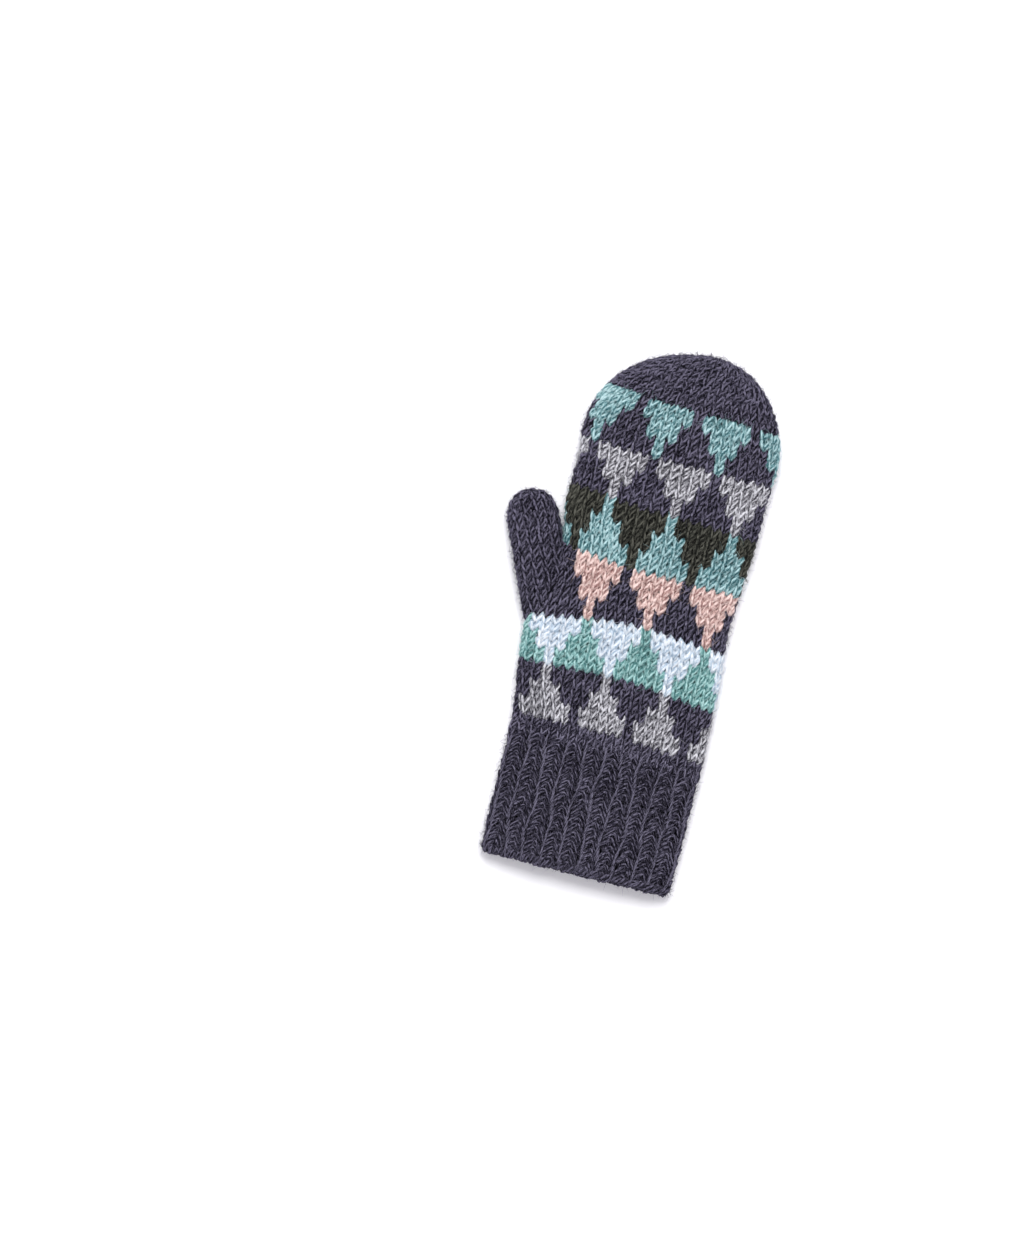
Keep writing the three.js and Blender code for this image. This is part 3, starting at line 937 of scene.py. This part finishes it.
def knit_loops(fabric, table, settle=None, yarn=YARN, depth=DEPTH, shade=PAD_SHADE):
    """Loops of yarn for each line of a table, with the soft pads behind them.

    Across is the share of the loop drawn, less a half, plus pinch times the sine of twice the
    turn. The rise is a half less half the loop's height times the cosine. In depth it is minus
    the sway times the cosine of twice the turn. No two stitches are alike, so each of these has
    a small random part, of the size that its factor gives."""
    count = len(table["foot"])
    t = np.linspace(0.0, 2 * np.pi, LOOP_POINTS + 1)
    jitter = rng.normal(0.0, 1.0, (7, count, 1))
    across = t / (2 * np.pi) - 0.5 + (PINCH + 0.02 * jitter[0]) * np.sin(2 * t)
    rise = 0.5 - (LOOP_RISE + 0.07 * jitter[1]) / 2 * np.cos(t)
    lean = np.clip(rise, 0.0, 1.0)
    foot, head = table["foot"][:, None], table["head"][:, None]
    width = table["width"][:, None]
    middle = foot + (head - foot) * lean + 0.035 * width * (jitter[2] + jitter[3] * (rise - 0.5))
    share = middle + across * width
    along = table["start"][:, None] + (rise + 0.035 * jitter[4]) * table["tall"][:, None]
    if settle is not None:
        share, along = settle(share, along)
    lift = -depth - (SWAY + 0.05 * jitter[5]) * np.cos(2 * t) + 0.12 * jitter[6]
    path, normal = fabric.at(share, along, lift)
    radius = yarn * (1.0 + 0.06 * jitter[1] - 0.18 * np.cos(2 * t))
    # tone: a random part for each stitch, painted shade where the loop goes deep at its feet and
    # head, and painted light on the legs, which come forward
    tone = 0.42 + 0.06 * jitter[2] - 0.2 * np.cos(2 * t) + np.zeros_like(radius)
    loops = strands(path, normal, radius, tone)

    pad_width, pad_height, pad_thickness = PAD_SIZE
    centre_share = (table["foot"] + table["head"]) / 2
    centre_along = table["start"] + table["tall"] / 2
    if settle is not None:
        centre_share, centre_along = settle(centre_share, centre_along)
    deep = np.full(count, -depth - 0.5)
    centre, out = fabric.at(centre_share, centre_along, deep)
    right, _ = fabric.at(centre_share + table["width"] / 2, centre_along, deep)
    upper, _ = fabric.at(centre_share, centre_along + table["tall"] / 2, deep)
    side, onward = right - centre, upper - centre
    wide = np.linalg.norm(side, axis=1) * pad_width
    high = np.linalg.norm(onward, axis=1) * pad_height
    tones = np.full(count, shade)
    filling = pads(centre, out, unit(side), unit(onward), wide, high, pad_thickness, tones)
    return [loops, filling]


# %% [markdown]
# ## Loose fibres
# Wool is hairy. Short fibres stand off every stitch, and along the mitten's edge they make the
# soft rim that the light catches; their colour is a painted highlight, pale as lit fuzz looks.
# Each is a thin curved strand with three sides that starts on the yarn and bends away at random.

# %% Fibres
HAIR_RADIUS = 0.085
HAIR_LENGTHS = (1.2, 4.6)
HAIR_DEPTH = 0.55  # how deep under the outer face a hair starts
# painted highlight: the loose fibres are drawn pale, as lit fuzz looks
HAIR_HIGHLIGHT_TONE = 0.95
HAIR_CLEARANCE = 0.1  # mm, lowest that a hair comes


def fibres(fabric, table, count, settle=None, depth=HAIR_DEPTH):
    """Thin curved hairs that start on the outer side of randomly chosen stitches.

    A hair runs off along the fabric, stands up from it by the sine of its own curl, and bends to
    one side by the square of the way along it."""
    pick = rng.integers(0, len(table["foot"]), count)
    share = table["head"][pick] + table["width"][pick] * rng.uniform(-0.5, 0.5, count)
    along = table["start"][pick] + table["tall"][pick] * rng.uniform(-0.1, 1.1, count)
    if settle is not None:
        share, along = settle(share, along)
    root, normal = fabric.at(share, along, np.full(count, -depth))
    flat_way = unit(np.cross(normal, rng.normal(0.0, 1.0, (count, 3))))
    bend = unit(np.cross(normal, rng.normal(0.0, 1.0, (count, 3))))
    length = rng.uniform(*HAIR_LENGTHS, (count, 1, 1))
    t = np.linspace(0.0, 1.0, 4)[None, :, None]
    stand = rng.uniform(0.15, 0.75, (count, 1, 1))
    curl = rng.uniform(1.2, 2.8, (count, 1, 1))
    lift = stand * np.sin(t * curl)
    path = root[:, None] + length * (
        t * flat_way[:, None] + lift * normal[:, None] + 0.45 * t**2 * bend[:, None]
    )
    path[..., 2] = np.maximum(path[..., 2], HAIR_CLEARANCE)
    radius = HAIR_RADIUS * (1.15 - t[..., 0]) * rng.uniform(0.6, 1.1, (count, 1))
    tone = np.full((count, 4), HAIR_HIGHLIGHT_TONE)
    normals = np.broadcast_to(normal[:, None], path.shape)
    return strands(path, normals, radius, tone, sides=3, ridge=0.0)


# %% [markdown]
# ## The patterned hand
# The stitches of one wool become one piece, so each has its own finish. Stitches whose place lies
# in the thumb's hole are left out, and so the hollow of the hand opens into the thumb. The rose
# figure that would stand on that side edge gives way to the thumb's own charcoal.

# %% Hand
HOLE_MARGIN = 3.0  # how deep inside the thumb's face a stitch of the hand has to lie to be left out
THUMB_SIDE = 0.75  # share of the way round at which the thumb stands
THUMB_REACH = 0.075  # share of the way round that it takes on either side of that

row_heights = np.concatenate([[band["tall"] / len(GROWING)] * len(GROWING) for band in BANDS])
row_heights *= (along_cap - along_cuff_top) / row_heights.sum()
hand_edges = along_cuff_top + np.concatenate([[0.0], np.cumsum(row_heights)])
hand_table = even_rows(STITCHES, hand_edges, chart_rows)
row_middle = hand_table["start"] + hand_table["tall"] / 2
middle_share, middle_along = settled(hand_table["head"], row_middle)
centre, _ = mitten.at(middle_share, middle_along, np.full(len(middle_share), -DEPTH))
hole = inside(thumb_sections, THUMB_POWER, *in_thumb_frame(centre), HOLE_MARGIN)
hand_table = picked(hand_table, ~hole)
at_thumb = np.abs(hand_table["head"] - THUMB_SIDE) < THUMB_REACH
given_way = at_thumb & (hand_table["wool"] == "rose")
hand_table["wool"] = np.where(given_way, "charcoal", hand_table["wool"])
print("stitches of the hand", len(hand_table["head"]), "left out at the thumb", int(hole.sum()))

HAIRS = {  # how many loose fibres the stitches of each wool have
    "charcoal": 3700,
    "grey": 1400,
    "white": 1000,
    "teal": 900,
    "rose": 800,
    "mint": 1400,
    "green": 900,
}

for name in HAIRS:
    of_this_wool = picked(hand_table, hand_table["wool"] == name)
    parts = knit_loops(mitten, of_this_wool, settled)
    parts.append(fibres(mitten, of_this_wool, HAIRS[name], settled))
    piece = knit_piece("hand_" + name, parts, WOOLS[name], name + "_wool")
    if name == "charcoal":
        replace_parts(piece, "hand")

# %% [markdown]
# ## The fingertip
# The same loops in plain charcoal, row by row of the wedge. The last row stops a millimetre short
# of the very end, where its stitches meet from all sides and close it.

# %% Fingertip
CAP_SHORT = 1.0  # how far short of the end the last row stops, in mm
cap_edges = np.linspace(along_cap, mitten.along[-1] - CAP_SHORT, len(CAP_FACES) + 1)
cap_before = CAP_FACES[:1] + CAP_FACES[:-1]
cap_rows = [
    wedge_row(face, before, low, high)
    for face, before, low, high in zip(CAP_FACES, cap_before, cap_edges, cap_edges[1:])
]
cap_table = joined(cap_rows)
print("rows of the fingertip", len(cap_rows), "of", round(cap_edges[1] - cap_edges[0], 2), "mm")
parts = knit_loops(mitten, cap_table, settled)
parts.append(fibres(mitten, cap_table, 2200, settled))
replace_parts(knit_piece("fingertip_knit", parts, WOOLS["charcoal"], "charcoal_wool"), "fingertip")

# %% [markdown]
# ## The thumb
# Twelve stitches round, closed in the same way. Its lowest stitches lie inside the hand's wall,
# where nobody sees them, so the ones that would stand in the hollow are left out.

# %% Thumb
THUMB_COUNTS = [12] * 14 + [9, 6, 3]  # stitches of each row
THUMB_START = 8.0  # where its first row lies, in mm along its form
THUMB_SHORT = 0.6  # how far short of the tip its last row stops
WALL_MARGIN = 2.4  # how deep inside the hand's face a stitch of the thumb has to lie to be left out

thumb_edges = np.linspace(THUMB_START, thumb.along[-1] - THUMB_SHORT, len(THUMB_COUNTS) + 1)
thumb_rows = [
    even_rows(count, [low, high], ["charcoal"])
    for count, low, high in zip(THUMB_COUNTS, thumb_edges, thumb_edges[1:])
]
thumb_table = joined(thumb_rows)
row_middle = thumb_table["start"] + thumb_table["tall"] / 2
centre, _ = thumb.at(thumb_table["head"], row_middle, np.full(len(row_middle), -DEPTH))
buried = inside(mitten_sections, CROWN_POWER, *centre.T, WALL_MARGIN)
thumb_table = picked(thumb_table, ~buried)
print("stitches of the thumb", len(thumb_table["head"]))
parts = knit_loops(thumb, thumb_table, depth=1.9)
parts.append(fibres(thumb, thumb_table, 1700))
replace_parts(knit_piece("thumb_knit", parts, WOOLS["charcoal"], "charcoal_wool"), "thumb")

# %% [markdown]
# ## The ribbed cuff
# The cuff is one stitch knit and one stitch purled, twenty-one times round. The knit stitches
# are twisted, so each column of them draws together into a thin raised line like a cord. The
# purled stitches spread between the lines as stacked arches. Two plain rows join it to the hand.
#
# Purled stitches could be the same loops turned inside out, but drawn as tight as this only
# their heads show. So each is a single arch of yarn, with the soft filling behind it.

# %% Ribs
RIBS = 21
ARCH_FALLS = (6.6, 4.6)  # how far the left and the right arm of an arch fall, in mm
ARCH_PEAK = 3.7  # mm from the foot of its row to its peak
ARCH_DEPTH = 1.75  # mm under the outer face, as the other depths are
ARCH_YARN = 0.98  # radius of the yarn in an arch
LINE_DEPTH = 0.7
LINE_YARN = 0.5  # radius of the yarn in a line, which is drawn thin
CUFF_HAIR_DEPTH = 0.9
rib_edges = np.linspace(along_mouth + 1.0, along_cuff_top - PLAIN_TALL, RIB_ROWS + 1)
RIB_TALL = rib_edges[1] - rib_edges[0]
DRAWN_IN = 0.065  # how much closer the ribs stand on the back of the hand than on average


def rib_share(place):
    """Share of the way round of a place counted in ribs, drawn in towards the crown's middle."""
    share = place / RIBS
    return share - DRAWN_IN * np.sin(2 * np.pi * share) / (2 * np.pi)


def rib_arches():
    """Purled arches: across evenly, in depth a low crown, along a lopsided peak.

    The twist of the yarn tips every arch over, so its left arm falls further than its right one,
    in a straight line that is rounded at the peak: the root of the place squared plus a little.
    The top two rows lie under the plain rows of the hand."""
    left_fall, right_fall = ARCH_FALLS
    ribs, rows = np.meshgrid(np.arange(RIBS), np.arange(RIB_ROWS + 2))
    rib, row = ribs.reshape(-1, 1), rows.reshape(-1, 1)
    count = len(rib)
    jitter = rng.normal(0.0, 1.0, (6, count, 1))
    s = np.linspace(-1.0, 1.0, 13)
    share = rib_share(rib + 0.5 + 0.47 * s + 0.03 * jitter[0])
    arm = s + 0.12 * jitter[5]
    fall = np.where(arm < 0, left_fall, right_fall) * (np.sqrt(arm**2 + 0.02) - 0.14)
    along = rib_edges[0] + RIB_TALL * row + ARCH_PEAK - fall + 0.3 * jitter[1]
    along = np.maximum(along, along_mouth + 1.3)
    lift = -ARCH_DEPTH + 0.15 * (1 - s**2) + 0.14 * jitter[2] - 0.15 * np.abs(s) ** 6
    lift = lift - 0.6 * (row >= RIB_ROWS)
    path, normal = mitten.at(share, along, lift)
    radius = ARCH_YARN * (1.0 + 0.1 * jitter[3]) * (1.0 - 0.2 * np.abs(s) ** 4)
    # tone: a random part for each arch, with a painted highlight on the left arm and painted shade
    # on the right one
    tone = 0.43 + 0.05 * jitter[4] - 0.07 * s
    return strands(path, normal, radius, tone)


def rib_lines():
    """Twisted knit stitches: short slanting lengths of yarn, each over the foot of the next.

    Along, each is a straight line that is longer than its row, and in depth a parabola whose
    middle stands out. The columns wander by two slow sines."""
    ribs, rows = np.meshgrid(np.arange(RIBS), np.arange(RIB_ROWS))
    rib, row = ribs.reshape(-1, 1), rows.reshape(-1, 1)
    count = len(rib)
    jitter = rng.normal(0.0, 1.0, (4, count, 1))
    s = np.linspace(-1.0, 1.0, 8)
    wander = 0.09 * np.sin(rib * 2.3 + row * 0.42) + 0.05 * np.sin(rib * 1.1 + row * 0.9)
    share = rib_share(rib + wander + 0.035 * s + 0.01 * jitter[0])
    along = rib_edges[row] + RIB_TALL * (0.5 + (0.85 + 0.05 * jitter[1]) * s)
    lift = -LINE_DEPTH - 0.5 * s**2 + 0.1 * jitter[2]
    path, normal = mitten.at(share, along, lift)
    radius = LINE_YARN * (1.0 + 0.06 * jitter[3]) * (1.0 - 0.3 * s**4)
    # tone: a painted highlight along the raised cord, with a random part, and painted shade towards
    # its ends, which dip
    tone = 0.92 + 0.1 * jitter[1] - 0.12 * s**2
    return strands(path, normal, radius, tone)


# %% [markdown]
# The arches, the filling behind them and the loose fibres make the body of the cuff. The filling
# is that of plain knit stitches, a little paler. The rows at the top are loops as on the hand, a
# little thinner and deeper, because the ribs pull them in.

# %% Cuff
cuff_table = even_rows(STITCHES, rib_edges, ["charcoal"] * RIB_ROWS)
plain_edges = np.linspace(rib_edges[-1], along_cuff_top, PLAIN_ROWS + 1)
plain_table = even_rows(STITCHES, plain_edges, ["charcoal"] * PLAIN_ROWS)
_, filling = knit_loops(mitten, cuff_table, depth=2.0, shade=0.38)
plain = knit_loops(mitten, plain_table, settled, yarn=0.95, depth=2.2)
hairs = fibres(mitten, joined([cuff_table, plain_table]), 4300, depth=CUFF_HAIR_DEPTH)
arches = knit_piece("cuff_arches", [rib_arches(), filling, hairs], WOOLS["cuff"], "charcoal_wool")
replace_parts(arches, "cuff")
knit_piece("cuff_lines", [rib_lines()], WOOLS["cuff"], "charcoal_wool")
knit_piece("cuff_top_rows", plain, WOOLS["cuff"], "charcoal_wool")

# %% [markdown]
# ## The cast-on edge
# The first stitches are wrapped over the rim of the cuff, one after another, and make a soft
# rounded edge.

# %% Cast-on edge
def cast_on():
    """Short wraps over the rim, from the inner side to the outer one, each slanting a little.

    Each is a three-quarter turn round the rim: along is minus the sine of the turn times 2 mm,
    and depth minus its cosine times 1.1 mm. There are two for every stitch."""
    count = 2 * STITCHES
    wrap = np.arange(count)[:, None]
    jitter = rng.normal(0.0, 1.0, (4, count, 1))
    turn = np.linspace(-0.25, 1.25, 10) * np.pi
    share = (wrap + 0.5 + 0.9 * (turn / np.pi - 0.5) + 0.1 * jitter[0]) / count
    along = along_mouth + 2.2 - (2.0 + 0.3 * jitter[1]) * np.sin(turn)
    lift = -2.2 - (1.1 + 0.15 * jitter[2]) * np.cos(turn)
    path, normal = mitten.at(share, along, lift)
    radius = 1.05 * (1.0 + 0.06 * jitter[3]) * np.ones_like(turn)
    tone = 0.6 + 0.06 * jitter[3] + np.zeros_like(radius)
    return strands(path, normal, radius, tone)


first_row = picked(cuff_table, cuff_table["start"] < rib_edges[1])
edge_hairs = fibres(mitten, first_row, 900, depth=CUFF_HAIR_DEPTH)
knit_piece("cast_on_edge", [cast_on(), edge_hairs], WOOLS["charcoal"], "charcoal_wool")

# %% [markdown]
# ## The count of triangles
# The visible mitten should be as large as the imported model, with a few millimetres of fibres
# beyond it. The triangles of all the pieces are added up and printed.

# %% Count the triangles
print("triangles in all", sum(made.values()))
